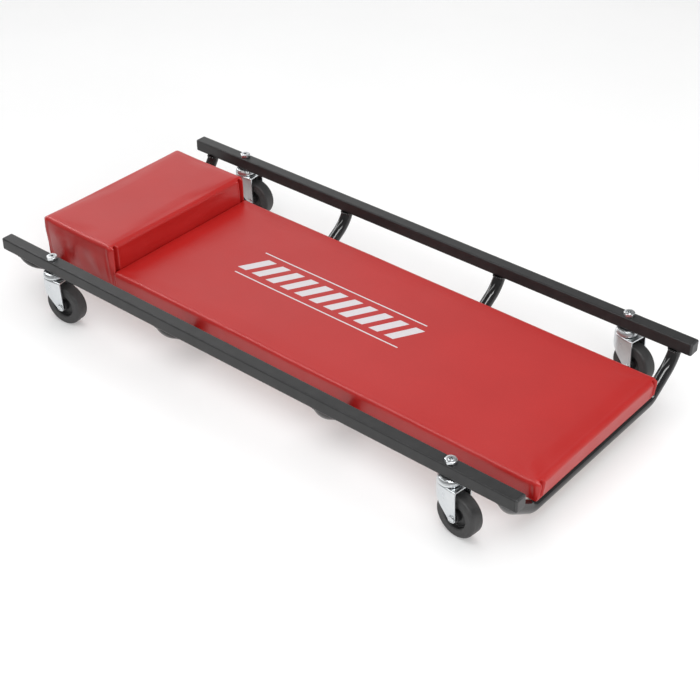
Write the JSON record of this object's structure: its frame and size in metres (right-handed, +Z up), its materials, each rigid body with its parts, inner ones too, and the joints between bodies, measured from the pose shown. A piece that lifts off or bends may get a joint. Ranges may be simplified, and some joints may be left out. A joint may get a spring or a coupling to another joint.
{
  "type": "mechanics creeper",
  "caption": "Low padded board with a raised headrest, hung on bent cross tubes between two side rails, rolling on swivel casters.",
  "frame": {"origin": "centre of the footprint on the floor, under the wheels", "axes": "+X from the headrest to the foot end, +Y across the rails, +Z up from the floor"},
  "size_m": [0.9144, 0.4431, 0.109],
  "materials": {
    "frame_paint": "satin black powder coat",
    "cap_plastic": "moulded black plastic with soft edges",
    "vinyl": "red upholstery vinyl with a soft sheen and a fine grain",
    "plywood": "plain plywood",
    "foam": "open-cell polyurethane foam",
    "zinc": "bright zinc plating",
    "steel": "bare bearing steel",
    "hub_plastic": "moulded black nylon",
    "tyre_rubber": "hard dark grey rubber, smooth tread"
  },
  "bodies": {
    "frame": {"rail_near": "frame_paint", "rail_cap_head_near": "cap_plastic", "rail_cap_foot_near": "cap_plastic", "rail_far": "frame_paint", "rail_cap_head_far": "cap_plastic", "rail_cap_foot_far": "cap_plastic", "cross_tube_1": "frame_paint", "board_screw_1_near": "zinc", "board_screw_1_far": "zinc", "cross_tube_2": "frame_paint", "board_screw_2_near": "zinc", "board_screw_2_far": "zinc", "cross_tube_3": "frame_paint", "board_screw_3_near": "zinc", "board_screw_3_far": "zinc", "cross_tube_4": "frame_paint", "board_screw_4_near": "zinc", "board_screw_4_far": "zinc", "base_board": "plywood", "headrest_board": "plywood", "main_foam": "foam", "headrest_foam": "foam", "main_cover": "vinyl", "headrest_cover": "vinyl", "caster_head_near_stem_nut": "zinc", "caster_head_near_kingpin": "zinc", "caster_head_near_top_race": "zinc", "caster_foot_near_stem_nut": "zinc", "caster_foot_near_kingpin": "zinc", "caster_foot_near_top_race": "zinc", "caster_head_far_stem_nut": "zinc", "caster_head_far_kingpin": "zinc", "caster_head_far_top_race": "zinc", "caster_foot_far_stem_nut": "zinc", "caster_foot_far_kingpin": "zinc", "caster_foot_far_top_race": "zinc"},
    "caster_head_near_swivel": {"caster_head_near_ball_ring": "steel", "caster_head_near_fork": "zinc", "caster_head_near_axle_rivet": "zinc", "caster_head_near_axle_sleeve": "steel"},
    "caster_head_near_wheel": {"caster_head_near_hub": "hub_plastic", "caster_head_near_tyre": "tyre_rubber"},
    "caster_foot_near_swivel": {"caster_foot_near_ball_ring": "steel", "caster_foot_near_fork": "zinc", "caster_foot_near_axle_rivet": "zinc", "caster_foot_near_axle_sleeve": "steel"},
    "caster_foot_near_wheel": {"caster_foot_near_hub": "hub_plastic", "caster_foot_near_tyre": "tyre_rubber"},
    "caster_head_far_swivel": {"caster_head_far_ball_ring": "steel", "caster_head_far_fork": "zinc", "caster_head_far_axle_rivet": "zinc", "caster_head_far_axle_sleeve": "steel"},
    "caster_head_far_wheel": {"caster_head_far_hub": "hub_plastic", "caster_head_far_tyre": "tyre_rubber"},
    "caster_foot_far_swivel": {"caster_foot_far_ball_ring": "steel", "caster_foot_far_fork": "zinc", "caster_foot_far_axle_rivet": "zinc", "caster_foot_far_axle_sleeve": "steel"},
    "caster_foot_far_wheel": {"caster_foot_far_hub": "hub_plastic", "caster_foot_far_tyre": "tyre_rubber"}
  },
  "joints": [
    {"name": "caster_head_near_swivel_turn", "type": "hinge", "parent": "frame", "child": "caster_head_near_swivel", "pos_m": [-0.3555, -0.2022, 0.0745], "axis": [0, 0, 1], "continuous": true},
    {"name": "caster_head_near_wheel_roll", "type": "hinge", "parent": "caster_head_near_swivel", "child": "caster_head_near_wheel", "pos_m": [-0.33768, -0.1997, 0.0305], "axis": [-0.1392, 0.9903, 0], "continuous": true},
    {"name": "caster_foot_near_swivel_turn", "type": "hinge", "parent": "frame", "child": "caster_foot_near_swivel", "pos_m": [0.3555, -0.2022, 0.0745], "axis": [0, 0, 1], "continuous": true},
    {"name": "caster_foot_near_wheel_roll", "type": "hinge", "parent": "caster_foot_near_swivel", "child": "caster_foot_near_wheel", "pos_m": [0.3734, -0.20408, 0.0305], "axis": [0.1045, 0.9945, 0], "continuous": true},
    {"name": "caster_head_far_swivel_turn", "type": "hinge", "parent": "frame", "child": "caster_head_far_swivel", "pos_m": [-0.3555, 0.2022, 0.0745], "axis": [0, 0, 1], "continuous": true},
    {"name": "caster_head_far_wheel_roll", "type": "hinge", "parent": "caster_head_far_swivel", "child": "caster_head_far_wheel", "pos_m": [-0.33757, 0.20377, 0.0305], "axis": [-0.0872, 0.9962, 0], "continuous": true},
    {"name": "caster_foot_far_swivel_turn", "type": "hinge", "parent": "frame", "child": "caster_foot_far_swivel", "pos_m": [0.3555, 0.2022, 0.0745], "axis": [0, 0, 1], "continuous": true},
    {"name": "caster_foot_far_wheel_roll", "type": "hinge", "parent": "caster_foot_far_swivel", "child": "caster_foot_far_wheel", "pos_m": [0.37323, 0.19907, 0.0305], "axis": [0.1736, 0.9848, 0], "continuous": true}
  ]
}
